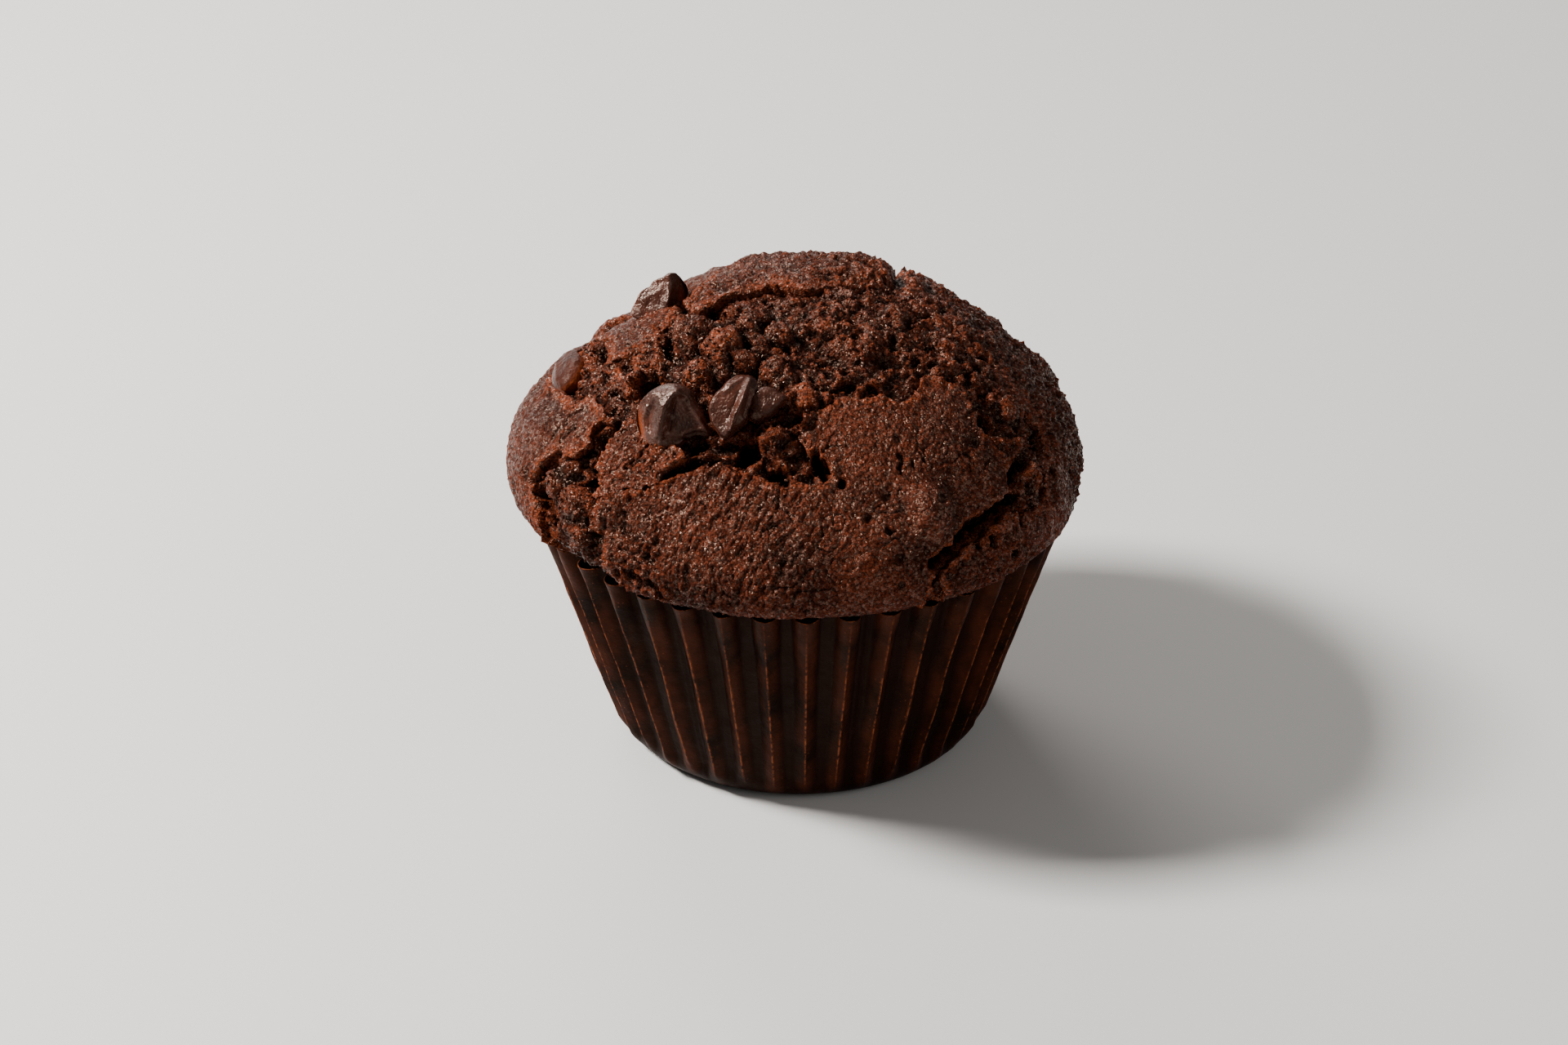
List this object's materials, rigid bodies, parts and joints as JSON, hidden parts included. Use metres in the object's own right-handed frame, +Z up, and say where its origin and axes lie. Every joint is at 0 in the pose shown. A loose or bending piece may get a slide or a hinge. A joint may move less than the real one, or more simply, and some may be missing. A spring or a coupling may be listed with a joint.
{
  "type": "chocolate muffin",
  "caption": "Domed, cracked chocolate muffin with chocolate chips, standing in a fluted brown paper case.",
  "frame": {"origin": "centre of the paper case's flat foot, on the surface that the muffin stands on", "axes": "+Z up, -Y towards the muffin's front, +X to its right seen from the front"},
  "size_m": [0.0748, 0.076, 0.0629],
  "materials": {
    "cake": "baked chocolate crumb, matt with a dull sheen",
    "paper_case": "dark brown greaseproof paper, satin",
    "chocolate": "dark chocolate, satin, softened by baking"
  },
  "bodies": {
    "root": {"cake": "cake", "paper_case": "paper_case", "chip_front_left": "chocolate", "chip_front_middle": "chocolate", "chip_front_right": "chocolate", "chip_back_left": "chocolate", "chip_far_left": "chocolate"}
  },
  "joints": []
}
